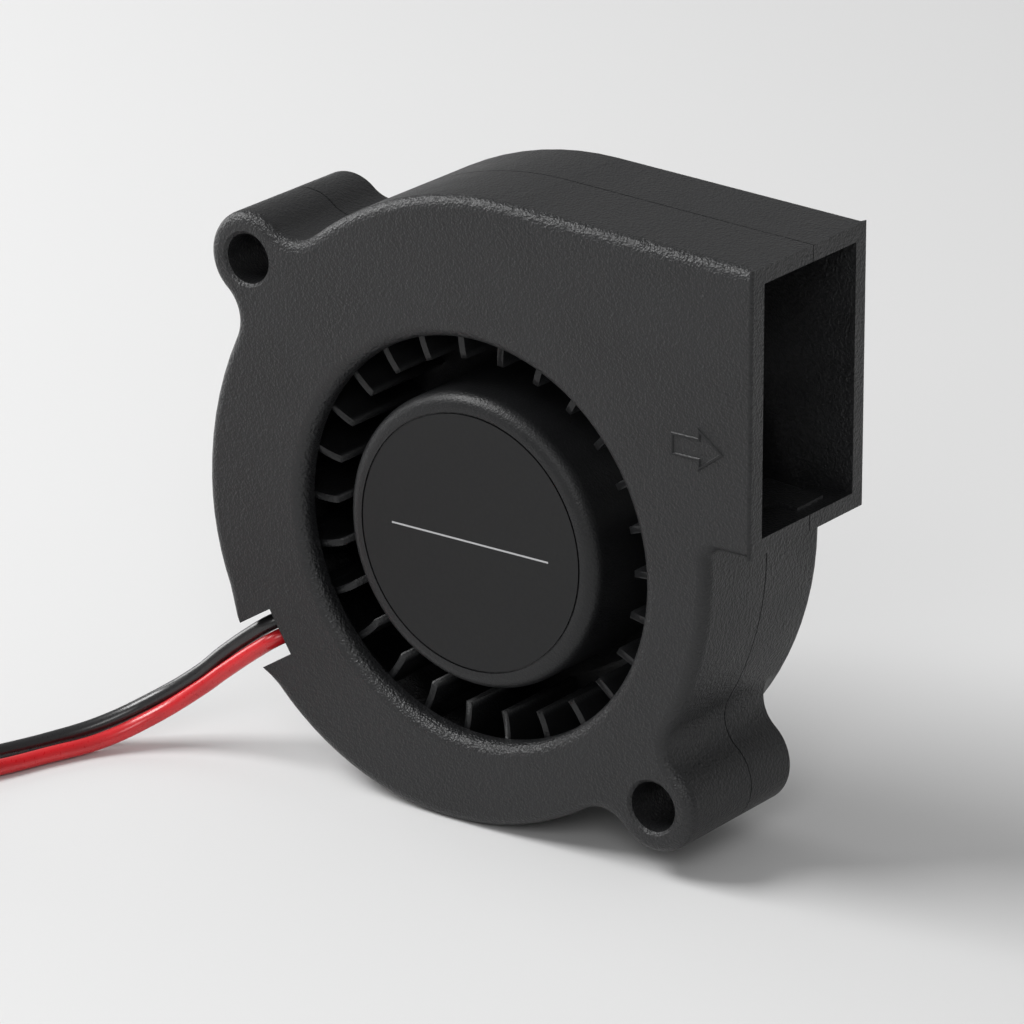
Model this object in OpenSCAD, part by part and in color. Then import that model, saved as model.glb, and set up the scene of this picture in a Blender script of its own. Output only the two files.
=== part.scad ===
// Radial DC blower: a scroll housing in two shells, an impeller on an
// external-rotor motor, and two leads that end in a two-way connector.
// Modules draw in the fan's own frame: x to the outlet, y up, z to the front,
// with the rotor axis at the origin. place() stands the fan on its base.

/* [Housing] */
// Depth from rear face to front face
depth = 15; // [14.8:0.1:16]
// Thickness of the outer walls
wall = 1.3; // [1.2:0.05:1.5]
// Thickness of the front plate
front_t = 1.6; // [1.4:0.1:1.8]
// Thickness of the rear plate
rear_t = 1.5; // [1.4:0.1:1.7]
// Distance of the parting plane behind mid-depth
seam_back = 0.3; // [0:0.1:0.8]
// Width of the reveal at the seam
seam_gap = 0.1; // [0.05:0.05:0.2]
// Depth of the reveal at the seam
seam_deep = 0.25; // [0.15:0.05:0.3]
// Height of the lap lip inside the seam
lap_h = 0.8; // [0.5:0.1:1]
// Clearance of the lap lip
lap_clear = 0.05; // [0.03:0.01:0.1]

/* [Scroll] */
// Radius of the arc under the fan
base_r = 23; // [22.7:0.1:24]
// Radius of the arc on the outlet side
side_r = 25.25; // [25:0.05:26]
// Radius of the arc on the far side and top
back_r = 27.85; // [27:0.05:28.5]
// Offset of the base arc's centre along x
base_x = -2.5; // [-2.8:0.1:-2.2]
// Offset of the base arc's centre along y
base_y = -0.3; // [-0.6:0.1:0]
// Angle at which the side arc hands over to the base arc
side_end = -70; // [-75:1:-66]
// Fall of the roof towards the outlet, in degrees
roof_fall = 2; // [0.5:0.5:3]

/* [Outlet] */
// Distance from the rotor axis to the outlet face
outlet_x = 25.8; // [25.2:0.1:28]
// Height of the outlet's underside above the rotor axis
sill_y = 4.4; // [3.8:0.1:5]
// Hollow corner between the outlet's underside and the scroll
step_r = 1; // [0.6:0.1:1.2]
// Rounding of the rim's edges
rim_edge = 0.3; // [0.1:0.05:0.5]
// Width of the ramp on the duct's floor
ramp_w = 3.4; // [2.5:0.1:4]
// Rise of the ramp above the duct's floor
ramp_h = 0.6; // [0.3:0.05:0.8]
// Distance from the outlet face back to the ramp's end
ramp_back = 1.1; // [0.6:0.1:1.5]

/* [Inlet] */
// Radius of the inlet
inlet_r = 16.1; // [15.5:0.1:16.6]
// Rounding of the inlet's lip
lip_r = 1.1; // [0.6:0.1:1.3]

/* [Screw ears] */
// Radius of an ear
ear_r = 3.7; // [3.4:0.1:4.2]
// Radius of a screw hole
hole_r = 2; // [1.6:0.05:2.2]
// Hollow where an ear runs into the scroll
neck_r = 3; // [2.4:0.1:3.4]
// Distance of the ears' rear end from the rear face
ear_back = 2; // [1:0.1:2.5]
// Ear at the upper left, along x
ear1_x = -21.2; // [-21.8:0.1:-20.6]
// Ear at the upper left, along y
ear1_y = 18.5; // [18:0.1:19]
// Ear at the lower right, along x
ear2_x = 17.1; // [16.6:0.1:17.6]
// Ear at the lower right, along y
ear2_y = -17.4; // [-18:0.1:-17]

/* [Impeller] */
// Outer radius of the blades
impeller_r = 19.3; // [18.6:0.1:19.4]
// Radius of the blades' inner ends
cage_r = 14.05; // [13.6:0.05:14.8]
// Number of blades
blades = 26; // [20:1:30]
// Thickness of a blade
blade_t = 0.55; // [0.4:0.05:0.7]
// Radius of a blade's curve
blade_curve = 9; // [8:0.5:14]
// Lean of a blade's inner end, in degrees
blade_lean = 8; // [0:1:14]
// Angle at which the first blade stands
blade_phase = -54.8; // [-60:0.2:-48]
// Clearance between the front plate and the blades
blade_gap = 0.35; // [0.3:0.05:0.6]
// Radial width of the ring that ties the blades in front
tie_ring_w = 0.9; // [0.6:0.1:1.2]
// Thickness of the tie ring and of the impeller's disc
disc_t = 0.8; // [0.6:0.05:1]
// Outer radius of the hub
hub_r = 11.8; // [11.6:0.1:12.2]
// Rounding of the hub's front edge
hub_edge = 1.2; // [0.6:0.1:1.4]
// Thickness of the hub's wall
hub_wall = 0.9; // [0.8:0.05:1]
// Thickness of the hub's front
hub_front_t = 1.4; // [1.2:0.1:1.6]
// Distance of the hub's front behind the housing's front face
hub_drop = 0.1; // [0:0.05:0.4]
// Radius of the label
label_r = 10.2; // [9:0.1:10.4]
// Thickness of the label
label_t = 0.15; // [0.1:0.01:0.2]

/* [Motor] */
// Radius of the shaft
shaft_r = 1; // [0.9:0.05:1.1]
// Radial running clearance of the shaft in its bearing
run_clear = 0.03; // [0.02:0.01:0.06]
// Thickness of the rotor's steel cup
yoke_t = 0.6; // [0.5:0.05:0.7]
// Thickness of the magnet ring
magnet_t = 1.2; // [1:0.1:1.4]
// Height of the magnet ring
magnet_h = 6.8; // [6:0.1:7.2]
// Air gap between magnet and stator
air_gap = 0.3; // [0.2:0.05:0.4]
// Height of the stator's lamination stack
stack_h = 5.6; // [5:0.1:5.8]
// Width of a stator arm
arm_w = 2.4; // [2:0.1:2.8]
// Depth of a pole shoe
shoe_t = 1.1; // [0.9:0.1:1.3]
// Gap between two pole shoes
slot_w = 2.2; // [1.8:0.1:3]
// Thickness of an insulator
insulator_t = 0.6; // [0.5:0.05:0.7]
// Build of a winding over its insulator
winding_t = 0.85; // [0.7:0.05:0.95]
// Outer radius of the sleeve bearing
bearing_r = 2.2; // [2:0.05:2.3]
// Wall of the bearing tube
tube_t = 0.7; // [0.6:0.05:0.8]
// Wall of the collar that holds the bearing tube
collar_t = 1.1; // [0.9:0.05:1.2]
// Outer radius of the circuit board
board_r = 9.8; // [9.5:0.1:10.1]
// Thickness of the circuit board
board_t = 0.8; // [0.6:0.1:0.8]

/* [Leads] */
// Diameter of a lead over its insulation
lead_d = 1.3; // [1.2:0.05:1.3]
// Angle at which the leads leave the fan
lead_angle = -148.1; // [-149:0.1:-147]
// Width of the notch for the leads
notch_w = 3.9; // [3.7:0.1:4.2]
// Depth of the notch along the fan's axis
notch_deep = 4.9; // [4.5:0.1:5.5]
// Length of the notch, from its inner edge to the scroll's outside
notch_l = 3.5; // [3.3:0.1:3.7]
// Radius of the outermost turn of the coiled leads
coil_r = 9.6; // [9.4:0.05:9.8]
// Number of turns in the coil
coil_turns = 2.5; // [2.25:0.25:3]
// Thickness of the coil's tie
tie_t = 0.25; // [0.15:0.05:0.3]
// Width of the coil's tie
tie_w = 1.8; // [1.2:0.1:2.4]
// Width of the connector
plug_w = 7.4; // [6.6:0.1:8]
// Height of the connector
plug_h = 4.8; // [4.4:0.1:5.4]
// Length of the connector
plug_l = 9; // [8:0.1:10]
// Spacing of the connector's contacts
plug_pitch = 2.5; // [2.4:0.05:2.6]

/* [Hidden] */

$fn = 96;
// Cuts run this far past what they cut
over = 1;

// Planes along the axis
front_z = depth / 2;
rear_z = -depth / 2;
seam_z = -seam_back;
floor_z = rear_z + rear_t;
roof_z = front_z - front_t;

// Centres of the scroll's three arcs, each on the ray where two arcs meet
base_c = [base_x, base_y];
side_c = base_c - (side_r - base_r) * ray(side_end);
back_c = base_c + [back_r - base_r, 0];

// Outlet: the centre of the hollow under it
step_y = sill_y - step_r;
step_c = [side_c.x + sqrt(pow(side_r + step_r, 2) - pow(step_y - side_c.y, 2)), step_y];
duct_floor = sill_y + wall;
ramp_end_h = ramp_h / 2;
lap_x = 15;

// Ears: centre, then centre and radius of the arc that each one grows from
ear1 = [ear1_x, ear1_y];
ear2 = [ear2_x, ear2_y];
ears = [[ear1, back_c, back_r], [ear2, side_c, side_r]];
ear_rear_z = rear_z + ear_back;
hole_edge = 0.25;

// Outside of the fan, without its leads
box_left = base_x - base_r;
box_right = outlet_x;
box_low = base_y - base_r;

// Rotor
hub_z = front_z - hub_drop;
hub_roof_z = hub_z - hub_front_t;
blade_top_z = roof_z - blade_gap;
disc_z = floor_z + 1.8;
root_h = 1;
root_w = 1.4;
blade_tuck = 0.1;
yoke_r = hub_r - hub_wall;
magnet_r = yoke_r - yoke_t;
yoke_low_z = disc_z + 1.2;
boss_r = 2.2;
boss_h = 1.4;
label_clear = 0.15;

// Stator and bearing
tube_r = bearing_r + tube_t;
collar_r = tube_r + collar_t;
stator_r = magnet_r - magnet_t - air_gap;
stack_z = -stack_h / 2;
collar_z = stack_z - insulator_t;
insulator_r = stator_r - 0.3;
step_up_z = floor_z + 0.4;
step_up_r = collar_r + 1.2;
board_hole_r = collar_r + 0.1;
board_z = step_up_z;
board_top_z = board_z + board_t;
pad_z = rear_z + 0.6;
pad_t = 0.3;
pad_r = 2;
shaft_z = pad_z + pad_t + 0.02;
shaft_tip = 0.4;
clip_z = floor_z + 0.3;
clip_t = 0.4;
clip_r = bearing_r - 0.3;
groove_d = 0.2;
bearing_z = clip_z + clip_t + 0.3;
bearing_top_z = 3.2;
slinger_z = bearing_top_z + 0.2;
slinger_t = 0.3;
slinger_r = 1.9;
tube_top_z = slinger_z + slinger_t;
arms = 4;
winding_in = collar_r + 0.3;
winding_w = arm_w + 2 * winding_t;
winding_out = sqrt(pow(stator_r - shoe_t, 2) - pow(winding_w / 2, 2)) - 0.1;
winding_round = 0.6;
part_angle = 45;
part_r = 8;
chip = [1.6, 2.9, 0.9];
chip_leg = [0.5, 0.4, 0.3];
capacitor = [0.8, 1.6, 0.8];

// Leads: groove and pocket that carry them inside the fan
lead_r = lead_d / 2;
lead_out = ray(lead_angle);
lead_gap = 0.1;
groove_w = 2 * lead_d + 4 * lead_gap;
groove_z = floor_z - 0.3 - lead_r;
groove_from = 7.4;
exit_along = base_c * lead_out;
exit_aside = base_c * ray(lead_angle + 90);
exit_r = exit_along + sqrt(pow(base_r, 2) - pow(exit_aside, 2));
pocket_r = exit_r - notch_l;
pocket_t = 0.6;
pocket_gate_z = floor_z + 1.4;
joint_r = 8.5;
joint_pin_r = 0.3;
joint_cap_r = 0.6;
joint_cap_h = 0.35;
sides = 8;

// Routes of the leads, in the frame of the fan on its base
red_route = [
  [-7, 6.3, 18.2], [-12, 6.3, 15.1], [-17, 6.3, 12], [-18.1, 6, 11.3], [-18.9, 5, 10.8],
  [-19.2, 3.7, 10.6], [-19.3, 0.5, 10.7], [-19.4, -3.8, 10.9], [-19.7, -5.1, 10.7],
  [-20.5, -6.1, 10.2], [-21.6, -6.4, 9.4], [-24.6, -7, 7], [-26.8, -7.6, 5.1],
  [-30.1, -9.8, 2.5], [-32.6, -13, 1], [-34.5, -17, 0.7], [-36, -21.3, 0.7],
  [-37.6, -25.3, 0.9], [-39.2, -28.8, 1.5], [-40.7, -32, 2], [-42.3, -35.1, 2.2]
];
black_route = [
  [-7.7, 6.3, 19.4], [-12.7, 6.3, 16.3], [-17.8, 6.3, 13.2], [-18.9, 6, 12.5],
  [-19.7, 5, 12], [-20, 3.7, 11.8], [-20, 0.5, 11.9], [-20.1, -3.3, 12],
  [-20.4, -4.6, 11.8], [-21.2, -5.6, 11.3], [-22.3, -5.9, 10.5], [-25.1, -6.4, 8.2],
  [-27.2, -7, 6.2], [-30.8, -9, 3.5], [-33.6, -11.8, 1.8], [-36, -15.2, 1],
  [-38, -18.9, 0.7], [-39.5, -22.4, 0.7], [-40.7, -26, 0.7], [-41.3, -29, 0.8]
];
coil_c = [-51, -31];
plug_c = [-48, -37.5];
plug_angle = 180;
red_tail_route = [
  [-56.8, -28.3, 2.2], [-56.1, -26.8, 2.6], [-55, -25.3, 3.1], [-53.8, -24.1, 3.7],
  [-52.1, -23.4, 3.9], [-49.6, -23.2, 3.7], [-47, -24.2, 3.5], [-44.9, -25.9, 3.5],
  [-43.6, -28.3, 3.5], [-43.1, -31, 3.5], [-43.1, -32.9, 3.6], [-43.3, -34.6, 3.9],
  [-44, -36.3, 4.4], [-45.2, -37.7, 4.9], [-46.6, -38.5, 5.2], [-48, -38.75, 5.25],
  [-50.65, -38.75, 5.25]
];
black_tail_route = [
  [-57.4, -31, 0.9], [-56.4, -29.6, 1], [-55.5, -28.4, 1.5], [-54.7, -27.3, 2.3],
  [-53.6, -26.4, 3.3], [-52.7, -25.7, 3.9], [-51.5, -25, 4], [-49.9, -24.7, 3.8],
  [-47.8, -25.4, 3.5], [-46, -26.8, 3.5], [-44.9, -28.8, 3.5], [-44.5, -31, 3.5],
  [-44.4, -32.5, 3.6], [-44.8, -34, 4], [-45.7, -35.3, 4.6], [-46.8, -36, 5.1],
  [-48, -36.25, 5.25], [-50.65, -36.25, 5.25]
];
coil_in_r = coil_r - coil_turns * lead_d - lead_r;
coil_out_r = coil_r + lead_r;
coil_h = 2 * lead_d;
plug_z = tie_t + coil_h;
coil_edge = 0.6;
tie_angle = 100;
tie_clear = 0.05;
cavity_w = 1.9;
cavity_h = 2.4;
wire_hole_r = lead_r + 0.25;
wire_hole_l = 2.5;
contact_t = 0.25;
contact_l = 5.5;
latch_w = 3;
latch_h = 0.5;

// Colours
plastic = "#1f2022";
rotor_plastic = "#18191a";
label_grey = "#2b2c2e";
steel = "#b4b7ba";
dark_steel = "#54575a";
magnet_black = "#2a2827";
bronze = "#a9814b";
brass = "#c9a75a";
nylon = "#e9e6dc";
copper = "#b5662e";
board_green = "#2f6b3c";
solder = "#c6c8ca";
red_pvc = "#c0141b";
black_pvc = "#111113";

function ray(a) = [cos(a), sin(a)];
function unit(v) = v / norm(v);
function angle_of(v) = atan2(v.y, v.x);
function roof_from(d) = back_c + (back_r - d) * ray(90 - roof_fall);
function roof_to(d, x) = [x, roof_from(d).y - (x - roof_from(d).x) * tan(roof_fall)];

// Points along a round stretch that starts at angle a, without its last one
function bend(c, r, a, sweep) =
  let (n = ceil(abs(sweep) * $fn / 360))
  [for (i = [0:n - 1]) c + r * ray(a + sweep * i / n)];
function left_turn(a, b) = ((b - a) % 360 + 360) % 360;
function bulge(c, r, a, b) = bend(c, r, a, left_turn(a, b));
function hollow(c, r, a, b) = bend(c, r, a, -left_turn(b, a));

// Centre of the hollow on one side of an ear, between the ear and the arc that it grows from
function neck_c(ear, turn) =
  let (
    p = ear[0], q = ear[1], a = ear_r + neck_r, b = ear[2] + neck_r, span = norm(q - p)
  )
  p + a * ray(angle_of(q - p) + turn * acos((span * span + a * a - b * b) / (2 * span * a)));

// The ear's own outline, d inside its outer wall, between two hollows
function ear_arc(ear, d, first, last) = concat(
  hollow(first, neck_r + d, angle_of(ear[1] - first), angle_of(ear[0] - first)),
  bulge(ear[0], ear_r - d, angle_of(first - ear[0]), angle_of(last - ear[0])),
  hollow(last, neck_r + d, angle_of(ear[0] - last), angle_of(ear[1] - last))
);

// The scroll's arc from angle a to b that carries an ear, d inside the outer wall, with or without it
function outer_arc(ear, d, a, b, eared) =
  let (
    first = neck_c(ear, 1), last = neck_c(ear, -1), r = ear[2] - d,
    first_a = angle_of(first - ear[1]), last_a = angle_of(last - ear[1])
  )
  concat(
    bulge(ear[1], r, a, first_a),
    eared ? ear_arc(ear, d, first, last) : bulge(ear[1], r, first_a, last_a),
    bulge(ear[1], r, last_a, b)
  );

// Outline of the scroll and its outlet up to x_end, d inside the outer wall
function outline(d, x_end, eared) =
  let (step_a = angle_of(step_c - side_c), step_from = angle_of(side_c - step_c))
  concat(
    bulge(base_c, base_r - d, 180, side_end),
    outer_arc(ears[1], d, side_end, step_a, eared),
    hollow(step_c, step_r + d, step_from, 90),
    [[step_c.x, sill_y + d], [x_end, sill_y + d], roof_to(d, x_end)],
    outer_arc(ears[0], d, 90 - roof_fall, 180, eared)
  );

// Rings of points around a route, each square to the route
function tube_points(route, r) = [
  for (i = [0:len(route) - 1])
    let (
      along = unit(route[min(i + 1, len(route) - 1)] - route[max(i - 1, 0)]),
      aside = [lead_out.y, 0, -lead_out.x],
      n = unit(aside - (aside * along) * along),
      s = cross(along, n)
    )
    for (k = [0:sides - 1]) route[i] + r * (cos(360 * k / sides) * n + sin(360 * k / sides) * s)
];
function tube_faces(n) = concat(
  [[for (k = [0:sides - 1]) k]],
  [
    for (i = [0:n - 2], k = [0:sides - 1])
      let (a = i * sides, b = a + sides, l = (k + 1) % sides)
      [a + k, b + k, b + l, a + l]
  ],
  [[for (k = [sides - 1:-1:0]) (n - 1) * sides + k]]
);

// Stands the fan on its base with the front towards -y
module place() {
  translate([-(box_left + box_right) / 2, 0, -box_low]) rotate([90, 0, 0]) children();
}

// Half section of a round slab, its far edge rounded by e
module slab_profile(r, h, e) {
  square([r - e, h]);
  square([r, h - e]);
  translate([r - e, h - e]) circle(e);
}

// Cuts a round hollow whose far edge flares by e
module hollow_cut(c, r, h, e) {
  translate(c) rotate_extrude() {
    translate([0, -over]) square([r, h + 2 * over]);
    difference() {
      translate([0, h - e]) square([r + e, e + over]);
      translate([r + e, h - e]) circle(e);
    }
  }
}

// Rounds the far edge of a straight wall from p to q, the wall being on its right
module edge_cut(p, q, h, e) {
  translate(p) rotate(angle_of(q - p))
    rotate([90, 0, 90]) linear_extrude(norm(q - p)) difference() {
    translate([-e, h - e]) square(e + over);
    translate([-e, h - e]) circle(e);
  }
}

// The scroll and its outlet, d inside the outer walls, and with or without its screw ears
module scroll(d, h, x_end, eared = false) {
  linear_extrude(h) polygon(outline(d, x_end, eared));
}

// What both shells leave open: screw holes, and the outlet's rounded rim
module shell_cuts() {
  for (c = [ear1, ear2]) translate(c) {
    translate([0, 0, rear_z - over]) cylinder(r = hole_r, h = depth + 2 * over);
    translate([0, 0, front_z - hole_edge])
      cylinder(r1 = hole_r, r2 = hole_r + 2 * hole_edge, h = 2 * hole_edge);
    translate([0, 0, ear_rear_z - hole_edge])
      cylinder(r1 = hole_r + 2 * hole_edge, r2 = hole_r, h = 2 * hole_edge);
  }
  low = [outlet_x, sill_y];
  high = roof_to(0, outlet_x);
  for (side = [0, 1]) mirror([0, 0, side]) {
    edge_cut(high + [0, over], low - [0, over], front_z, rim_edge);
  }
}

// Walls around the leads between the rotor and the scroll's outer wall
module pocket_walls(z0, z1) {
  w = notch_w / 2;
  l = exit_r - wall / 2 - pocket_r;
  rotate(lead_angle) translate([pocket_r, 0, z0]) difference() {
    translate([-pocket_t, -w - pocket_t, 0]) cube([l + pocket_t, 2 * (w + pocket_t), z1 - z0]);
    translate([0, -w, -over]) cube([l + over, 2 * w, z1 - z0 + 2 * over]);
  }
}

// Where the lap lip stops short of the outlet
module lap_end(clear) {
  translate([lap_x - clear, -clear, -depth]) cube([depth * 2, depth * 2, depth * 2]);
}

module front_shell() {
  color(plastic) place() difference() {
    union() {
      difference() {
        union() {
          translate([0, 0, seam_z]) scroll(0, front_z - seam_z, outlet_x, true);
          difference() {
            translate([0, 0, seam_z - lap_h]) scroll(wall / 2 + lap_clear, lap_h + over, outlet_x - wall);
            lap_end(lap_clear);
          }
        }
        translate([0, 0, seam_z - lap_h - over])
          scroll(wall, roof_z - seam_z + lap_h + over, outlet_x + over);
      }
      pocket_walls(seam_z - lap_h, roof_z + over / 2);
    }
    translate([0, 0, seam_z]) hollow_cut([0, 0], inlet_r, front_z - seam_z, lip_r);
    rotate(lead_angle) translate([pocket_r, -notch_w / 2, front_z - notch_deep])
      cube([notch_l + over, notch_w, notch_deep + over]);
    shell_cuts();
  }
}

module rear_shell() {
  body_h = seam_z - seam_gap - rear_z;
  color(plastic) place() difference() {
    union() {
      difference() {
        union() {
          translate([0, 0, rear_z]) scroll(0, body_h, outlet_x);
          translate([0, 0, ear_rear_z]) scroll(0, body_h - ear_back, outlet_x, true);
          translate([0, 0, seam_z - over]) scroll(seam_deep, over, outlet_x - seam_deep, true);
        }
        translate([0, 0, floor_z]) scroll(wall, depth, outlet_x + over);
        difference() {
          translate([0, 0, seam_z - lap_h - lap_clear]) scroll(wall / 2, depth, outlet_x - wall);
          lap_end(0);
        }
      }
      rotate_extrude() {
        translate([0, floor_z - over / 2]) square([collar_r, collar_z - floor_z + over / 2]);
        translate([0, floor_z - over / 2]) square([step_up_r, step_up_z - floor_z + over / 2]);
      }
      difference() {
        pocket_walls(floor_z - over / 2, seam_z - lap_h - lap_clear);
        rotate(lead_angle) translate([0, -notch_w / 2, floor_z - over])
          cube([exit_r - wall, notch_w, pocket_gate_z - floor_z + over]);
      }
      duct_ramp();
    }
    translate([0, 0, pad_z]) cylinder(r = pad_r + lap_clear, h = depth);
    translate([0, 0, floor_z]) cylinder(r = tube_r, h = depth);
    rotate(lead_angle) translate([groove_from, -groove_w / 2, groove_z])
      cube([exit_r - wall - groove_from, groove_w, floor_z - groove_z + over / 4]);
    shell_cuts();
  }
}

// Ramp on the duct's floor beside the seam
module duct_ramp() {
  heel = side_c.x + side_r - wall;
  translate([0, 0, seam_z - ramp_w]) linear_extrude(ramp_w) polygon([
    [heel - over, duct_floor - wall / 2], [outlet_x - ramp_back, duct_floor - wall / 2],
    [outlet_x - ramp_back, duct_floor + ramp_end_h], [heel - over, duct_floor + ramp_h]
  ]);
}

module blade_section() {
  curve_c = [cage_r, 0] + blade_curve * ray(blade_lean - 90);
  intersection() {
    difference() {
      translate(curve_c) circle(blade_curve + blade_t / 2);
      translate(curve_c) circle(blade_curve - blade_t / 2);
    }
    difference() {
      circle(impeller_r - blade_tuck);
      circle(cage_r);
    }
    translate([0, -blade_curve / 2]) square([impeller_r + over, blade_curve]);
  }
}

module impeller() {
  color(rotor_plastic) place() {
    rotate_extrude() {
      difference() {
        translate([0, disc_z]) slab_profile(hub_r, hub_z - disc_z, hub_edge);
        translate([0, disc_z - over]) square([yoke_r, hub_roof_z - disc_z + over]);
        translate([0, hub_z - label_t]) square([label_r + label_clear, label_t + over]);
      }
      translate([yoke_r, disc_z]) square([impeller_r - yoke_r, disc_t]);
      translate([hub_r - blade_tuck, disc_z + disc_t - blade_tuck])
        polygon([[0, 0], [root_w, 0], [root_w, blade_tuck], [blade_tuck, root_h], [0, root_h]]);
      translate([impeller_r - tie_ring_w, blade_top_z - disc_t]) square([tie_ring_w, disc_t]);
    }
    for (i = [0:blades - 1]) rotate(blade_phase + i * 360 / blades)
      translate([0, 0, disc_z + disc_t / 2])
        linear_extrude(blade_top_z - disc_z - disc_t / 2 - blade_tuck / 2) blade_section();
  }
}

module hub_label() {
  color(label_grey) place() translate([0, 0, hub_z - label_t]) cylinder(r = label_r, h = label_t);
}

// The rotor's steel cup, with a boss that grips the shaft
module rotor_yoke() {
  color(dark_steel) place() rotate_extrude() {
    translate([magnet_r, yoke_low_z]) square([yoke_t, hub_roof_z - yoke_low_z]);
    translate([shaft_r, hub_roof_z - yoke_t]) square([yoke_r - shaft_r, yoke_t]);
    translate([shaft_r, hub_roof_z - yoke_t - boss_h]) square([boss_r - shaft_r, boss_h + yoke_t]);
  }
}

module magnet_ring() {
  color(magnet_black) place() translate([0, 0, yoke_low_z]) ring(magnet_r, magnet_r - magnet_t, magnet_h);
}

module ring(r_out, r_in, h) {
  difference() {
    cylinder(r = r_out, h = h);
    translate([0, 0, -over]) cylinder(r = r_in, h = h + 2 * over);
  }
}

module shaft() {
  color(steel) place() difference() {
    union() {
      translate([0, 0, shaft_z + shaft_tip]) cylinder(r = shaft_r, h = hub_roof_z - shaft_z - shaft_tip);
      translate([0, 0, shaft_z]) cylinder(r1 = shaft_r / 2, r2 = shaft_r, h = shaft_tip);
    }
    translate([0, 0, clip_z]) ring(shaft_r + over, shaft_r - groove_d, clip_t);
  }
}

module oil_slinger() {
  color(nylon) place() translate([0, 0, slinger_z]) ring(slinger_r, shaft_r, slinger_t);
}

// Open ring that keeps the shaft in its bearing
module retaining_clip() {
  color(nylon) place() translate([0, 0, clip_z]) difference() {
    ring(clip_r, shaft_r - groove_d, clip_t);
    translate([0, -shaft_r / 4, -over]) cube([clip_r + over, shaft_r / 2, clip_t + 2 * over]);
  }
}

module thrust_pad() {
  color(nylon) place() translate([0, 0, pad_z]) cylinder(r = pad_r, h = pad_t);
}

module sleeve_bearing() {
  color(bronze) place() translate([0, 0, bearing_z])
    ring(bearing_r, shaft_r + run_clear, bearing_top_z - bearing_z);
}

module bearing_tube() {
  color(brass) place() translate([0, 0, floor_z]) ring(tube_r, bearing_r, tube_top_z - floor_z);
}

// Outline of the stator: a ring with arms that end in pole shoes
module stator_section(r_out) {
  difference() {
    union() {
      circle(collar_r);
      difference() {
        circle(r_out);
        circle(stator_r - shoe_t);
        for (i = [0:arms - 1]) rotate(180 / arms + i * 360 / arms)
          translate([0, -slot_w / 2]) square([stator_r + over, slot_w]);
      }
      for (i = [0:arms - 1]) rotate(i * 360 / arms)
        translate([0, -arm_w / 2]) square([stator_r - shoe_t / 2, arm_w]);
    }
    circle(tube_r);
  }
}

module stator_core() {
  color(dark_steel) place() translate([0, 0, stack_z]) linear_extrude(stack_h) stator_section(stator_r);
}

module front_insulator() {
  color(nylon) place() translate([0, 0, -stack_z]) linear_extrude(insulator_t) stator_section(insulator_r);
}

module rear_insulator() {
  color(nylon) place() translate([0, 0, collar_z]) linear_extrude(insulator_t) stator_section(insulator_r);
}

// A block of wire around one arm, its four edges rounded
module winding(i) {
  w = winding_w;
  h = stack_h + 2 * (insulator_t + winding_t);
  color(copper) place() rotate(i * 360 / arms) translate([winding_in, 0, 0])
    rotate([90, 0, 90]) linear_extrude(winding_out - winding_in) difference() {
      union() {
        square([w - 2 * winding_round, h], center = true);
        square([w, h - 2 * winding_round], center = true);
        for (x = [-1, 1], y = [-1, 1])
          translate([x * (w / 2 - winding_round), y * (h / 2 - winding_round)]) circle(winding_round);
      }
      square([arm_w, stack_h + 2 * insulator_t], center = true);
    }
}

// The two places where a lead meets the board
module at_joints() {
  for (side = [-1, 1]) rotate(lead_angle) translate([joint_r, side * (lead_r + lead_gap / 2), 0]) children();
}

module circuit_board() {
  color(board_green) place() difference() {
    translate([0, 0, board_z]) ring(board_r, board_hole_r, board_t);
    at_joints() translate([0, 0, board_z - over]) cylinder(r = joint_pin_r, h = board_t + 2 * over);
  }
}

module driver_chip() {
  color(plastic) place() rotate(part_angle) translate([part_r, 0, board_top_z]) {
    translate([-chip.x / 2, -chip.y / 2, chip_leg.z / 2]) cube(chip - [0, 0, chip_leg.z / 2]);
    for (x = [-1, 1], y = [-1, 0, 1])
      translate([x * chip.x / 2 - chip_leg.x / 2, y * chip.y / 3 - chip_leg.y / 2, 0]) cube(chip_leg);
  }
}

module board_capacitor() {
  color(bronze) place() rotate(180 - part_angle) translate([part_r, 0, board_top_z + capacitor.z / 2])
    cube(capacitor, center = true);
}

// Wire ends soldered through the board
module solder_joints() {
  color(solder) place() at_joints() {
    translate([0, 0, groove_z + lead_r]) cylinder(r = joint_pin_r, h = board_top_z - groove_z - lead_r);
    translate([0, 0, board_top_z]) cylinder(r1 = joint_cap_r, r2 = joint_pin_r, h = joint_cap_h);
  }
}

module lead(route, shade) {
  color(shade) polyhedron(tube_points(route, lead_r), tube_faces(len(route)), convexity = 6);
}

// The turns of both leads, as one solid that rests on the tie
module lead_coil() {
  color(red_pvc) translate([coil_c.x, coil_c.y, tie_t]) rotate_extrude() {
    translate([coil_in_r, coil_edge]) square([coil_out_r - coil_in_r, coil_h - 2 * coil_edge]);
    translate([coil_in_r + coil_edge, 0]) square([coil_out_r - coil_in_r - 2 * coil_edge, coil_h]);
    for (x = [coil_in_r + coil_edge, coil_out_r - coil_edge], y = [coil_edge, coil_h - coil_edge])
      translate([x, y]) circle(coil_edge);
  }
}

module coil_tie() {
  w = coil_out_r - coil_in_r + 2 * tie_clear;
  color(black_pvc) translate([coil_c.x, coil_c.y, 0]) rotate(tie_angle)
    translate([(coil_in_r + coil_out_r) / 2, tie_w / 2, tie_t + coil_h / 2])
      rotate([90, 0, 0]) linear_extrude(tie_w) difference() {
        square([w + 2 * tie_t, coil_h + 2 * tie_t], center = true);
        square([w, coil_h], center = true);
      }
}

// Connector frame: x from the leads to the open end, z up from its underside
module at_plug() {
  translate([plug_c.x, plug_c.y, plug_z]) rotate(plug_angle) children();
}

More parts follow.
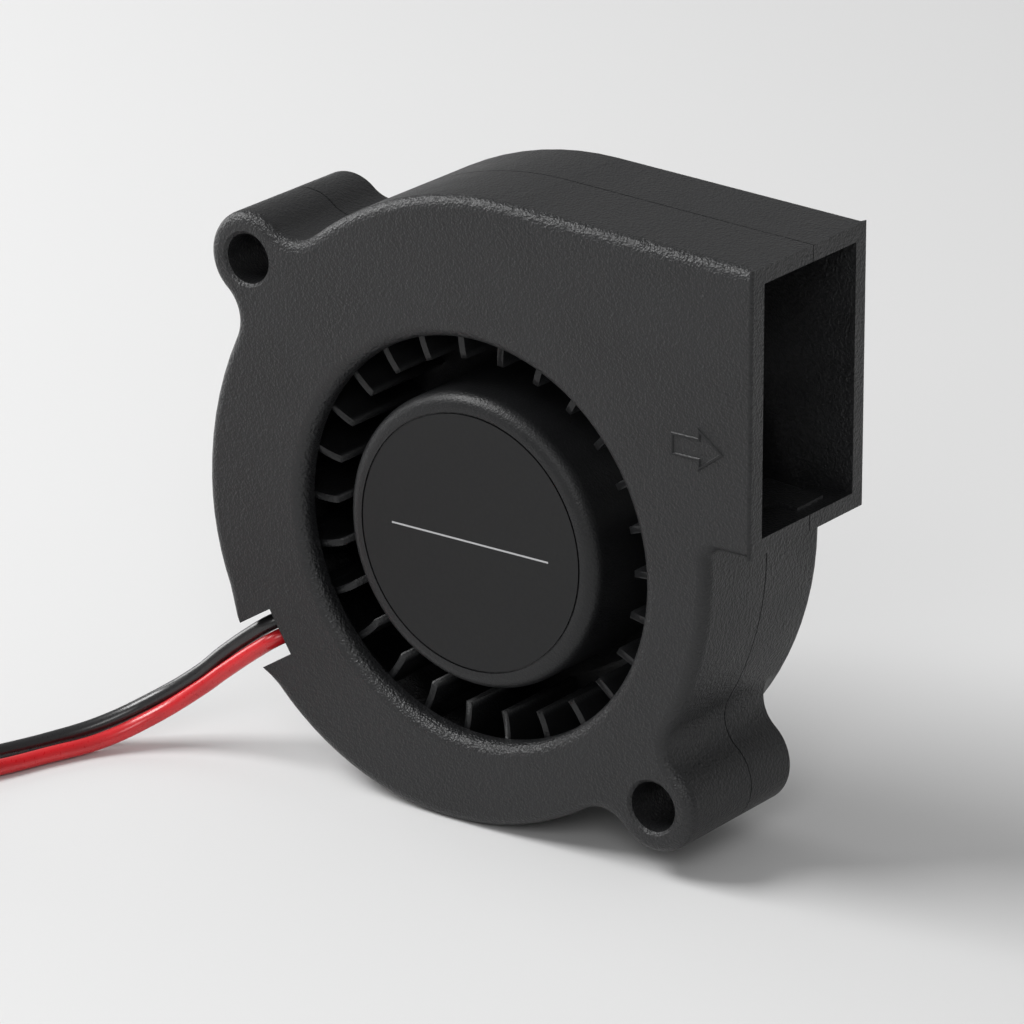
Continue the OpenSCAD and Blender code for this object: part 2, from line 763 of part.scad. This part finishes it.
module at_ways() {
  for (y = [-1, 1]) translate([0, y * plug_pitch / 2, plug_h / 2]) children();
}

module connector_housing() {
  color(nylon) at_plug() {
    difference() {
      translate([0, -plug_w / 2, 0]) cube([plug_l, plug_w, plug_h]);
      at_ways() {
        translate([wire_hole_l, -cavity_w / 2, -cavity_h / 2]) cube([plug_l, cavity_w, cavity_h]);
        translate([-over, 0, 0]) rotate([0, 90, 0]) cylinder(r = wire_hole_r, h = wire_hole_l + 2 * over);
      }
    }
    translate([plug_l / 3, -latch_w / 2, plug_h - over / 4]) cube([plug_l / 4, latch_w, latch_h + over / 4]);
  }
}

// Sheet-metal boxes that lie in the housing's two cavities
module connector_contacts() {
  w = cavity_w - 2 * lap_clear;
  h = cavity_h - 2 * lap_clear;
  color(solder) at_plug() at_ways() translate([wire_hole_l + lap_clear, 0, 0]) difference() {
    translate([0, -w / 2, -h / 2]) cube([contact_l, w, h]);
    translate([contact_t, contact_t - w / 2, contact_t - h / 2])
      cube([contact_l, w - 2 * contact_t, h - 2 * contact_t]);
  }
}

front_shell();
rear_shell();
impeller();
hub_label();
rotor_yoke();
magnet_ring();
shaft();
oil_slinger();
retaining_clip();
thrust_pad();
sleeve_bearing();
bearing_tube();
stator_core();
front_insulator();
rear_insulator();
winding(0);  // winding_1
winding(1);  // winding_2
winding(2);  // winding_3
winding(3);  // winding_4
circuit_board();
driver_chip();
board_capacitor();
solder_joints();
lead(red_route, red_pvc);  // lead_red
lead(black_route, black_pvc);  // lead_black
lead_coil();
coil_tie();
lead(red_tail_route, red_pvc);  // red_tail
lead(black_tail_route, black_pvc);  // black_tail
connector_housing();
connector_contacts();
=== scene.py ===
"""Radial DC blower dressed for a studio view: moulded housing, rotor, two leads and their connector."""

import math

import bmesh
import bpy
import numpy as np
from mathutils import Matrix, Vector


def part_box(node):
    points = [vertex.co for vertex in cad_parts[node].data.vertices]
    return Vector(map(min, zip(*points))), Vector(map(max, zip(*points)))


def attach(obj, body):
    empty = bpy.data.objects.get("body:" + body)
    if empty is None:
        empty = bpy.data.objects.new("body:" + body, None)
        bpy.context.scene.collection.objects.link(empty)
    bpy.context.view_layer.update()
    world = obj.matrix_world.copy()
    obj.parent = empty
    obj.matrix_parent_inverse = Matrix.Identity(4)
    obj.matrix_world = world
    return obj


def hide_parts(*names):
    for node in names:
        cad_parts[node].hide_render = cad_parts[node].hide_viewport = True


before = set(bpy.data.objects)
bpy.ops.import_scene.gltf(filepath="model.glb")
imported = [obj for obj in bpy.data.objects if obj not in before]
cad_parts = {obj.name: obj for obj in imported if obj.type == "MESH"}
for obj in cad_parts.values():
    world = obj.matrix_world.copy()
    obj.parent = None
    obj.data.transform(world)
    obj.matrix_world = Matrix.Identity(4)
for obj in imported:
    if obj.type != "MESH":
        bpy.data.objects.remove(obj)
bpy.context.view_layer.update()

MM = 0.001


def middle_of(node):
    """Middle of a CAD node's box, in metres."""
    low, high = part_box(node)
    return (low + high) / 2


# Places taken from the frame, in metres
AXIS = middle_of("impeller")
LABEL_MIDDLE = middle_of("hub_label")
FRONT_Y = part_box("front_shell")[0].y
REAR_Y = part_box("rear_shell")[1].y


def add_object(name, data):
    """A new object at the origin of the scene."""
    thing = bpy.data.objects.new(name, data)
    bpy.context.scene.collection.objects.link(thing)
    return thing


# ---------------------------------------------------------------- camera

CAMERA_AT = Vector((283.039, -380.595, 201.958)) * MM
CAMERA_YAW = math.radians(36.796)
CAMERA_PITCH = math.radians(20.605)
CAMERA_ROLL = math.radians(-0.2)
CAMERA_LENS = 232.84
CAMERA_SENSOR = 36
CAMERA_NEAR = 10 * MM


def make_camera():
    """Looks along the direction given by yaw about z, then pitch down, then roll about the view."""
    forward = Vector((-math.sin(CAMERA_YAW), math.cos(CAMERA_YAW), 0)) * math.cos(CAMERA_PITCH)
    forward.z = -math.sin(CAMERA_PITCH)
    level = Vector((math.cos(CAMERA_YAW), math.sin(CAMERA_YAW), 0))
    over = level.cross(forward)
    right = level * math.cos(CAMERA_ROLL) + over * math.sin(CAMERA_ROLL)
    up = over * math.cos(CAMERA_ROLL) - level * math.sin(CAMERA_ROLL)
    data = bpy.data.cameras.new("camera")
    data.lens = CAMERA_LENS
    data.sensor_width = CAMERA_SENSOR
    data.clip_start = CAMERA_NEAR
    camera = add_object("camera", data)
    turn = Matrix((right, up, -forward)).transposed().to_4x4()
    camera.matrix_world = Matrix.Translation(CAMERA_AT) @ turn
    bpy.context.scene.camera = camera


make_camera()


# ---------------------------------------------------------------- materials

class Nodes:
    """One material's node tree, with every pattern on Object coordinates."""

    def __init__(self, name):
        self.material = bpy.data.materials.new(name)
        self.material.use_nodes = True
        self.tree = self.material.node_tree
        self.shader = self.tree.nodes["Principled BSDF"]
        self.place = self.add("ShaderNodeTexCoord").outputs["Object"]

    def add(self, kind, **settings):
        node = self.tree.nodes.new(kind)
        for key, value in settings.items():
            setattr(node, key, value)
        return node

    def link(self, source, target):
        self.tree.links.new(source, target)

    def set(self, **values):
        """Plain values for the shader's own sockets, named with _ for each space."""
        for key, value in values.items():
            self.shader.inputs[key.replace("_", " ")].default_value = value

    def noise(self, scale, detail=3.0, stretch=None):
        """Noise of about scale waves per metre, with each axis multiplied by its stretch first."""
        node = self.add("ShaderNodeTexNoise")
        node.inputs["Scale"].default_value = scale
        node.inputs["Detail"].default_value = detail
        source = self.place
        if stretch:
            mapping = self.add("ShaderNodeMapping")
            mapping.inputs["Scale"].default_value = stretch
            self.link(self.place, mapping.inputs["Vector"])
            source = mapping.outputs["Vector"]
        self.link(source, node.inputs["Vector"])
        return node.outputs["Fac"]

    def pattern(self, kind, scale, output, **settings):
        """One output of another texture, on Object coordinates times scale."""
        node = self.add(kind, **settings)
        node.inputs["Scale"].default_value = scale
        self.link(self.place, node.inputs["Vector"])
        return node.outputs[output]

    def calculate(self, operation, a, b=None):
        """One calculation on sockets or numbers."""
        node = self.add("ShaderNodeMath", operation=operation)
        for socket, value in zip(node.inputs, (a, b)):
            if value is None:
                continue
            if isinstance(value, (int, float)):
                socket.default_value = value
            else:
                self.link(value, socket)
        return node.outputs[0]

    def plus(self, a, b):
        return self.calculate("ADD", a, b)

    def times(self, a, share):
        return self.calculate("MULTIPLY", a, share)

    def off_from(self, a, level):
        """Distance between a and a level, on either side."""
        return self.calculate("ABSOLUTE", self.calculate("SUBTRACT", a, level))

    def ramp(self, source, low, high, at=(0.3, 0.7)):
        """Colours or greys between two ends as source goes between two levels."""
        node = self.add("ShaderNodeValToRGB")
        for element, colour, level in zip(node.color_ramp.elements, (low, high), at):
            element.color = colour if isinstance(colour, tuple) else (colour, colour, colour, 1)
            element.position = level
        self.link(source, node.inputs["Fac"])
        return node.outputs["Color"]

    def colour(self, source):
        self.link(source, self.shader.inputs["Base Color"])

    def colour_about(self, source, rgb, dark, light):
        """Base colour from dark times rgb to light times rgb, as source rises."""
        self.colour(self.ramp(source, shade(rgb, dark), shade(rgb, light)))

    def rough(self, source, low, high):
        """Roughness from low to high, as source rises."""
        self.link(self.ramp(source, low, high), self.shader.inputs["Roughness"])

    def bump(self, height, distance):
        """Surface relief whose full height is distance metres."""
        node = self.add("ShaderNodeBump")
        node.inputs["Distance"].default_value = distance
        node.inputs["Strength"].default_value = 1.0
        self.link(height, node.inputs["Height"])
        self.link(node.outputs["Normal"], self.shader.inputs["Normal"])


def shade(rgb, k):
    """A colour times k, kept below full white, with its alpha."""
    return tuple(min(1.0, c * k) for c in rgb) + (1,)


def textured_plastic(name, rgb, roughness, grain, depth, specular=0.5):
    """Moulded plastic with a spark-eroded grain: its relief is waves plus 0.45 of smaller pits, and its
    colour follows 0.7 of a broad mottle plus 0.3 of the waves."""
    n = Nodes(name)
    waves = n.noise(grain, detail=4.0)
    pits = n.pattern("ShaderNodeTexVoronoi", grain * 1.7, "Distance")
    mottle = n.noise(grain / 18, detail=2.0)
    n.colour_about(n.plus(n.times(mottle, 0.7), n.times(waves, 0.3)), rgb, dark=0.82, light=1.22)
    n.rough(mottle, roughness - 0.05, roughness + 0.05)
    n.bump(n.plus(waves, n.times(pits, 0.45)), depth)
    n.set(Specular_IOR_Level=specular)
    return n.material


def smooth_plastic(name, rgb, roughness):
    """Smooth moulded plastic: faint flow marks in colour and height, specks in gloss."""
    n = Nodes(name)
    flow = n.noise(90, stretch=(1, 1, 2.5))
    specks = n.noise(2600, detail=2.0)
    n.colour_about(flow, rgb, dark=0.9, light=1.1)
    n.rough(specks, roughness - 0.04, roughness + 0.04)
    n.bump(n.plus(flow, n.times(specks, 0.2)), 0.03 * MM)
    return n.material


ROUND_MARKS = (1, 12, 1)
FINE_ROUND_MARKS = (1, 30, 1)


def metal(name, rgb, roughness, marks=(1, 1, 1), grain=900, dark=0.8):
    """Bare metal with fine tool marks. Each axis is multiplied by its number in marks, so that the lines
    lie close together along an axis with a large one."""
    n = Nodes(name)
    lines = n.noise(grain, stretch=marks)
    n.colour_about(lines, rgb, dark, light=1.08)
    n.rough(lines, roughness - 0.07, roughness + 0.07)
    n.bump(lines, 0.02 * MM)
    n.set(Metallic=1.0)
    return n.material


def laminations():
    """Stack of electrical-steel sheets: dark lines across the stack, a wave along y."""
    n = Nodes("laminated_steel")
    sheets = n.pattern("ShaderNodeTexWave", 320, "Fac", bands_direction="Y")
    sheets.node.inputs["Distortion"].default_value = 0.3
    n.colour(n.ramp(sheets, (0.06, 0.06, 0.065, 1), (0.3, 0.3, 0.32, 1), at=(0.05, 0.4)))
    n.rough(n.noise(700), 0.35, 0.5)
    n.bump(sheets, 0.04 * MM)
    n.set(Metallic=0.9)
    return n.material


def enamelled_wire():
    """Turns of enamelled copper wire side by side: a wave on the diagonal."""
    n = Nodes("enamelled_wire")
    turns = n.pattern("ShaderNodeTexWave", 900, "Fac", bands_direction="DIAGONAL")
    n.colour(n.ramp(turns, (0.2, 0.055, 0.02, 1), (0.62, 0.22, 0.08, 1)))
    n.rough(n.noise(1500), 0.22, 0.34)
    n.bump(turns, 0.06 * MM)
    n.set(Metallic=0.7, Coat_Weight=0.5)
    return n.material


def glass_board():
    """Glass-fibre board under green resist, its weave just showing."""
    n = Nodes("glass_board")
    weave = n.pattern("ShaderNodeTexChecker", 2400, "Fac")
    n.colour(n.ramp(n.plus(n.times(weave, 0.3), n.noise(500)),
                    (0.012, 0.07, 0.03, 1), (0.03, 0.15, 0.06, 1)))
    n.rough(n.noise(900), 0.25, 0.4)
    n.bump(weave, 0.01 * MM)
    return n.material


RULE_HALF_LENGTH = 7.4 * MM
RULE_HALF_WIDTH = 0.07 * MM
RULE_ABOVE_MIDDLE = 0.1 * MM
RULE_GREY = (0.45, 0.45, 0.46, 1)


def label_film():
    """Black film with a satin face. It has one thin pale rule, where both x and z are nearer to the rule's
    middle than its half length and half width."""
    n = Nodes("label_film")
    grain = n.noise(3000, detail=2.0)
    split = n.add("ShaderNodeSeparateXYZ")
    n.link(n.place, split.inputs[0])
    along = n.off_from(split.outputs["X"], LABEL_MIDDLE.x)
    height = n.off_from(split.outputs["Z"], LABEL_MIDDLE.z + RULE_ABOVE_MIDDLE)
    rule = n.times(n.calculate("LESS_THAN", along, RULE_HALF_LENGTH),
                   n.calculate("LESS_THAN", height, RULE_HALF_WIDTH))
    mix = n.add("ShaderNodeMixRGB")
    n.link(rule, mix.inputs["Fac"])
    n.link(n.ramp(grain, (0.0042, 0.0044, 0.0048, 1), (0.006, 0.0062, 0.0067, 1)), mix.inputs["Color1"])
    mix.inputs["Color2"].default_value = RULE_GREY
    n.colour(mix.outputs["Color"])
    n.rough(grain, 0.3, 0.38)
    n.bump(grain, 0.008 * MM)
    n.set(Specular_IOR_Level=0.3)
    return n.material


def pvc(name, rgb, roughness):
    """Extruded PVC sheath: glossy, with a faint waviness and finer unevenness in its gloss."""
    n = Nodes(name)
    waves = n.noise(420, detail=2.0)
    fine = n.noise(4200, detail=2.0)
    n.colour_about(waves, rgb, dark=0.86, light=1.12)
    n.rough(fine, roughness - 0.04, roughness + 0.06)
    n.bump(n.plus(waves, n.times(fine, 0.15)), 0.04 * MM)
    n.set(Coat_Weight=0.3, Coat_Roughness=0.15)
    return n.material


HOUSING = textured_plastic("housing_plastic", (0.0115, 0.0118, 0.0126), roughness=0.4, grain=3100,
                           depth=0.12 * MM, specular=0.45)
ROTOR = textured_plastic("rotor_plastic", (0.009, 0.0093, 0.01), roughness=0.42, grain=3600,
                         depth=0.04 * MM, specular=0.35)
CHIP = textured_plastic("chip_plastic", (0.014, 0.014, 0.015), roughness=0.6, grain=6000, depth=0.01 * MM)
PALE_NYLON = smooth_plastic("pale_nylon", (0.78, 0.75, 0.66), roughness=0.42)
RED_PVC = pvc("red_pvc", (0.62, 0.012, 0.018), roughness=0.3)
BLACK_PVC = pvc("black_pvc", (0.012, 0.012, 0.013), roughness=0.3)
WIRE = enamelled_wire()

WINDING_COUNT = 4
FINISHES = {
    "front_shell": HOUSING,
    "rear_shell": HOUSING,
    "impeller": ROTOR,
    "hub_label": label_film(),
    "rotor_yoke": metal("zinc_plated_cup", (0.5, 0.51, 0.52), 0.35, ROUND_MARKS),
    "magnet_ring": smooth_plastic("ferrite_rubber", (0.03, 0.028, 0.027), 0.7),
    "shaft": metal("ground_shaft", (0.62, 0.63, 0.64), 0.2, FINE_ROUND_MARKS, grain=1500),
    "oil_slinger": PALE_NYLON,
    "retaining_clip": PALE_NYLON,
    "thrust_pad": PALE_NYLON,
    "sleeve_bearing": metal("sintered_bronze", (0.48, 0.31, 0.15), 0.5, grain=4000, dark=0.6),
    "bearing_tube": metal("turned_brass", (0.72, 0.53, 0.25), 0.3, FINE_ROUND_MARKS),
    "stator_core": laminations(),
    "front_insulator": PALE_NYLON,
    "rear_insulator": PALE_NYLON,
    "circuit_board": glass_board(),
    "driver_chip": CHIP,
    "board_capacitor": smooth_plastic("ceramic_body", (0.4, 0.28, 0.16), 0.5),
    "solder_joints": metal("solder", (0.7, 0.7, 0.72), 0.25, grain=1200),
    "lead_red": RED_PVC,
    "lead_black": BLACK_PVC,
    "lead_coil": RED_PVC,
    "coil_tie": smooth_plastic("tie_strap", (0.015, 0.015, 0.016), 0.45),
    "red_tail": RED_PVC,
    "black_tail": BLACK_PVC,
    "connector_housing": PALE_NYLON,
    "connector_contacts": metal("tinned_brass", (0.72, 0.71, 0.68), 0.28),
}
FINISHES.update({f"winding_{count}": WIRE for count in range(1, WINDING_COUNT + 1)})


def dress(thing, material):
    """Gives an object this one material."""
    thing.data.materials.clear()
    thing.data.materials.append(material)


for node_name, cad_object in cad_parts.items():
    dress(cad_object, FINISHES[node_name])


# ---------------------------------------------------------------- leads

LEAD_D = 1.3 * MM
LEAD_ROUNDNESS = 5
LEAD_STEPS = 5

# Routes in millimetres, from the circuit board to the coil
RED_ROUTE = [
    (-7, 6.3, 18.2), (-12, 6.3, 15.1), (-17, 6.3, 12), (-18.1, 6, 11.3), (-18.9, 5, 10.8),
    (-19.2, 3.7, 10.6), (-19.3, 0.5, 10.7), (-19.4, -3.8, 10.9), (-19.7, -5.1, 10.7),
    (-20.5, -6.1, 10.2), (-21.6, -6.4, 9.4), (-24.6, -7, 7), (-26.8, -7.6, 5.1),
    (-30.1, -9.8, 2.5), (-32.6, -13, 1), (-34.5, -17, 0.7), (-36, -21.3, 0.7),
    (-37.6, -25.3, 0.9), (-39.2, -28.8, 1.5), (-40.7, -32, 2),
]
BLACK_ROUTE = [
    (-7.7, 6.3, 19.4), (-12.7, 6.3, 16.3), (-17.8, 6.3, 13.2), (-18.9, 6, 12.5),
    (-19.7, 5, 12), (-20, 3.7, 11.8), (-20, 0.5, 11.9), (-20.1, -3.3, 12),
    (-20.4, -4.6, 11.8), (-21.2, -5.6, 11.3), (-22.3, -5.9, 10.5), (-25.1, -6.4, 8.2),
    (-27.2, -7, 6.2), (-30.8, -9, 3.5), (-33.6, -11.8, 1.8), (-36, -15.2, 1),
    (-38, -18.9, 0.7), (-39.5, -22.4, 0.7), (-40.7, -26, 0.7), (-41.3, -29, 0.8),
]

# Routes in millimetres, from the coil to the connector
RED_TAIL = [
    (-56.8, -28.3, 2.2), (-56.1, -26.8, 2.6), (-55, -25.3, 3.1), (-53.8, -24.1, 3.7),
    (-52.1, -23.4, 3.9), (-49.6, -23.2, 3.7), (-47, -24.2, 3.5), (-44.9, -25.9, 3.5),
    (-43.6, -28.3, 3.5), (-43.1, -31, 3.5), (-43.1, -32.9, 3.6), (-43.3, -34.6, 3.9),
    (-44, -36.3, 4.4), (-45.2, -37.7, 4.9), (-46.6, -38.5, 5.2), (-48, -38.75, 5.25),
    (-50.65, -38.75, 5.25),
]
BLACK_TAIL = [
    (-57.4, -31, 0.9), (-56.4, -29.6, 1), (-55.5, -28.4, 1.5), (-54.7, -27.3, 2.3),
    (-53.6, -26.4, 3.3), (-52.7, -25.7, 3.9), (-51.5, -25, 4), (-49.9, -24.7, 3.8),
    (-47.8, -25.4, 3.5), (-46, -26.8, 3.5), (-44.9, -28.8, 3.5), (-44.5, -31, 3.5),
    (-44.4, -32.5, 3.6), (-44.8, -34, 4), (-45.7, -35.3, 4.6), (-46.8, -36, 5.1),
    (-48, -36.25, 5.25), (-50.65, -36.25, 5.25),
]

# The coil, in millimetres: the tie passes under the black turns, and the red ones lie on them
COIL_X, COIL_Y = -51, -31
COIL_R = 9.6
COIL_TURNS = 2.5
COIL_STEPS = 24
RED_COIL = {"start": -25, "height": 2.2}
BLACK_COIL = {"start": 0, "height": 0.9}


def coil(start, height):
    """Points of a flat spiral, clockwise from above from a start angle in degrees. Its radius is the
    coil's less one lead diameter for each turn made."""
    count = round(COIL_TURNS * COIL_STEPS)
    turned = np.arange(1, count) / COIL_STEPS
    angle = math.radians(start) - 2 * np.pi * turned
    radius = COIL_R - turned * LEAD_D / MM
    x = COIL_X + radius * np.cos(angle)
    y = COIL_Y + radius * np.sin(angle)
    return list(zip(x, y, np.full_like(x, height)))


def make_lead(name, route, finish):
    """A round cord on one smooth curve through the route's points."""
    data = bpy.data.curves.new(name, "CURVE")
    data.dimensions = "3D"
    data.bevel_depth = LEAD_D / 2
    data.bevel_resolution = LEAD_ROUNDNESS
    data.resolution_u = LEAD_STEPS
    data.use_fill_caps = True
    spline = data.splines.new("BEZIER")
    spline.bezier_points.add(len(route) - 1)
    for point, place in zip(spline.bezier_points, route):
        point.co = Vector(place) * MM
        point.handle_left_type = "AUTO"
        point.handle_right_type = "AUTO"
    lead = add_object(name, data)
    dress(lead, finish)
    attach(lead, "housing")
    return lead


red_lead = make_lead("red_lead", RED_ROUTE + coil(**RED_COIL) + RED_TAIL, RED_PVC)
black_lead = make_lead("black_lead", BLACK_ROUTE + coil(**BLACK_COIL) + BLACK_TAIL, BLACK_PVC)
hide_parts("lead_red", "red_tail", "lead_coil")
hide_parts("lead_black", "black_tail")


# ---------------------------------------------------------------- moulded pieces

MERGE_WITHIN = 0.004 * MM
FLAT_WITHIN = math.radians(0.4)
SMOOTH_TO = math.radians(34)
CORNER_FROM = math.radians(50)
ON_PLANE = 0.02 * MM


def merged_copy(node, name, body):
    """A copy of a CAD node with its loose triangles merged and its flat faces joined."""
    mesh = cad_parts[node].data.copy()
    mesh.name = name
    build = bmesh.new()
    build.from_mesh(mesh)
    bmesh.ops.remove_doubles(build, verts=build.verts, dist=MERGE_WITHIN)
    bmesh.ops.dissolve_limit(build, angle_limit=FLAT_WITHIN, verts=build.verts, edges=build.edges)
    build.to_mesh(mesh)
    build.free()
    piece = add_object(name, mesh)
    dress(piece, FINISHES[node])
    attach(piece, body)
    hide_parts(node)
    return piece


def smooth(piece):
    """Smooth shading that breaks at edges sharper than SMOOTH_TO."""
    mesh = piece.data
    mesh.polygons.foreach_set("use_smooth", np.ones(len(mesh.polygons), bool))
    mesh.set_sharp_from_angle(angle=SMOOTH_TO)


def add_bevel(piece, name, method, width, segments, clamp):
    """Rounds a piece's edges, with its normals weighted by the size of the faces."""
    bevel = piece.modifiers.new(name, "BEVEL")
    bevel.limit_method = method
    bevel.width = width
    bevel.segments = segments
    bevel.use_clamp_overlap = clamp
    weighted = piece.modifiers.new("even_shading", "WEIGHTED_NORMAL")
    weighted.keep_sharp = True
    return bevel


def round_edges(piece, plane_y, width, keep_off=()):
    """Rounds the corners that lie in one plane across y, apart from those inside a circle of keep_off,
    whose circles are (x, z, radius)."""
    mesh = piece.data
    build = bmesh.new()
    build.from_mesh(mesh)
    layers = build.edges.layers.float
    weight = layers.get("bevel_weight_edge") or layers.new("bevel_weight_edge")
    for edge in build.edges:
        if len(edge.link_faces) != 2 or any(abs(v.co.y - plane_y) > ON_PLANE for v in edge.verts):
            continue
        middle = (edge.verts[0].co + edge.verts[1].co) / 2
        kept = any(math.hypot(middle.x - x, middle.z - z) < radius for x, z, radius in keep_off)
        if not kept and edge.calc_face_angle(0) > CORNER_FROM:
            edge[weight] = 1.0
    build.to_mesh(mesh)
    build.free()
    add_bevel(piece, "rounded_edge", "WEIGHT", width, segments=5, clamp=False)


def soften(piece, width):
    """Small rounding on every corner of a moulded piece."""
    bevel = add_bevel(piece, "soft_edges", "ANGLE", width, segments=3, clamp=True)
    bevel.angle_limit = CORNER_FROM


# Section of a rib: places across it and their heights, as shares of its width and height
RIB_ACROSS = (-0.5, -0.22, 0.22, 0.5)
RIB_RAISED = (-0.2, 1.0, 1.0, -0.2)


def ridge(name, outline, width, height, plane_y, finish, body):
    """A low rib along a closed outline of (x, z) points. The rib's section is carried from corner to
    corner, and at each one it lies along the mitre, the sum of both sides' normals."""
    corners = np.array(outline, float)
    ahead = np.roll(corners, -1, axis=0) - corners
    ahead /= np.linalg.norm(ahead, axis=1)[:, None]
    behind = np.roll(ahead, 1, axis=0)
    aside = np.stack((ahead[:, 1], -ahead[:, 0]), axis=1)
    aside_behind = np.stack((behind[:, 1], -behind[:, 0]), axis=1)
    mitre = aside + aside_behind
    mitre /= (mitre * aside).sum(axis=1)[:, None]
    across = np.array(RIB_ACROSS) * width
    raised = np.array(RIB_RAISED) * height
    flat = corners[:, None, :] + across[None, :, None] * mitre[:, None, :]
    y = np.broadcast_to(plane_y - raised, flat.shape[:2])
    points = np.stack((flat[..., 0], y, flat[..., 1]), axis=-1).reshape(-1, 3)
    rows, columns = flat.shape[:2]
    row, column = np.meshgrid(np.arange(rows), np.arange(columns - 1), indexing="ij")
    here = (row * columns + column).ravel()
    there = (((row + 1) % rows) * columns + column).ravel()
    faces = np.stack((here, there, there + 1, here + 1), axis=1)
    mesh = bpy.data.meshes.new(name)
    mesh.from_pydata(points.tolist(), [], faces.tolist())
    build = bmesh.new()
    build.from_mesh(mesh)
    bmesh.ops.recalc_face_normals(build, faces=build.faces)
    if sum(face.normal.y * face.calc_area() for face in build.faces) > 0:
        bmesh.ops.reverse_faces(build, faces=build.faces)
    build.to_mesh(mesh)
    build.free()
    piece = add_object(name, mesh)
    dress(piece, finish)
    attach(piece, body)
    return piece


# Circles round both screw holes and the leads' notch, where the front corners stay square:
# x and z from the rotor's axis, and radius, in millimetres
LEFT_SQUARE = [(-21.2, 18.5, 2.9), (17.1, -17.4, 2.9), (-19.55, -12.1, 3.6)]
FRONT_ROUNDING = 0.9 * MM
REAR_ROUNDING = 0.6 * MM
CONNECTOR_ROUNDING = 0.15 * MM

front_cover = merged_copy("front_shell", "front_cover", "housing")
smooth(front_cover)
round_edges(front_cover, FRONT_Y, FRONT_ROUNDING,
            [(AXIS.x + x * MM, AXIS.z + z * MM, radius * MM) for x, z, radius in LEFT_SQUARE])
rear_case = merged_copy("rear_shell", "rear_case", "housing")
smooth(rear_case)
round_edges(rear_case, REAR_Y, REAR_ROUNDING)
blade_wheel = merged_copy("impeller", "blade_wheel", "rotor")
smooth(blade_wheel)

# Flow arrow on the front face, pointing at the outlet, and smoother than the grain round it
ARROW_TAIL = 18.7 * MM
ARROW_NECK = 21.1 * MM
ARROW_TIP = 23.1 * MM
ARROW_MID = 35.45 * MM
ARROW_SHAFT = 0.78 * MM
ARROW_HEAD = 1.47 * MM
ARROW_LINE = 0.3 * MM
ARROW_RAISED = 0.09 * MM
ARROW_OUTLINE = [
    (ARROW_TAIL, ARROW_MID + ARROW_SHAFT), (ARROW_NECK, ARROW_MID + ARROW_SHAFT),
    (ARROW_NECK, ARROW_MID + ARROW_HEAD), (ARROW_TIP, ARROW_MID),
    (ARROW_NECK, ARROW_MID - ARROW_HEAD), (ARROW_NECK, ARROW_MID - ARROW_SHAFT),
    (ARROW_TAIL, ARROW_MID - ARROW_SHAFT),
]
ridge("flow_arrow", ARROW_OUTLINE, ARROW_LINE, ARROW_RAISED, FRONT_Y, ROTOR, "housing")

connector = merged_copy("connector_housing", "connector_body", "housing")
smooth(connector)
soften(connector, CONNECTOR_ROUNDING)


# ---------------------------------------------------------------- stage

FLOOR_HALF = 3.0
FLOOR_MOTTLE = 3.0
FLOOR_GREYS = ((0.74, 0.74, 0.74, 1), (0.77, 0.77, 0.77, 1))
WORLD_STRENGTH = 0.32

# Softboxes: direction from the fan, distance, width and height in metres, power in watts
LAMPS = {
    "key": ((-0.55, -0.36, 0.75), 0.7, (0.4, 0.22), 4.0),
    "side": ((-1, 0.05, 0.25), 0.6, (0.3, 0.3), 1.3),
    "front": ((0.45, -0.75, 0.55), 0.9, (0.4, 0.3), 1.6),
}


def make_floor():
    """A wide pale floor with a faint mottle."""
    half = FLOOR_HALF
    mesh = bpy.data.meshes.new("floor")
    corners = [(-half, -half, 0), (half, -half, 0), (half, half, 0), (-half, half, 0)]
    mesh.from_pydata(corners, [], [(0, 1, 2, 3)])
    floor = add_object("floor", mesh)
    n = Nodes("pale_floor")
    n.colour(n.ramp(n.noise(FLOOR_MOTTLE), *FLOOR_GREYS))
    n.set(Roughness=0.9, Specular_IOR_Level=0.1)
    dress(floor, n.material)


def make_lamp(name, direction, distance, size, power):
    """A softbox at a distance along a direction from the fan, facing it."""
    data = bpy.data.lights.new(name, "AREA")
    data.shape = "RECTANGLE"
    data.size, data.size_y = size
    data.energy = power
    lamp = add_object(name, data)
    towards = Vector(direction).normalized()
    lamp.location = AXIS + towards * distance
    lamp.rotation_euler = towards.to_track_quat("Z", "Y").to_euler()


def make_world():
    """Even white light from all round."""
    world = bpy.data.worlds.new("studio")
    bpy.context.scene.world = world
    world.use_nodes = True
    back = world.node_tree.nodes["Background"]
    back.inputs["Color"].default_value = (1, 1, 1, 1)
    back.inputs["Strength"].default_value = WORLD_STRENGTH


make_floor()
make_world()
for lamp_name, settings in LAMPS.items():
    make_lamp(lamp_name, *settings)
bpy.context.scene.view_settings.view_transform = "Standard"
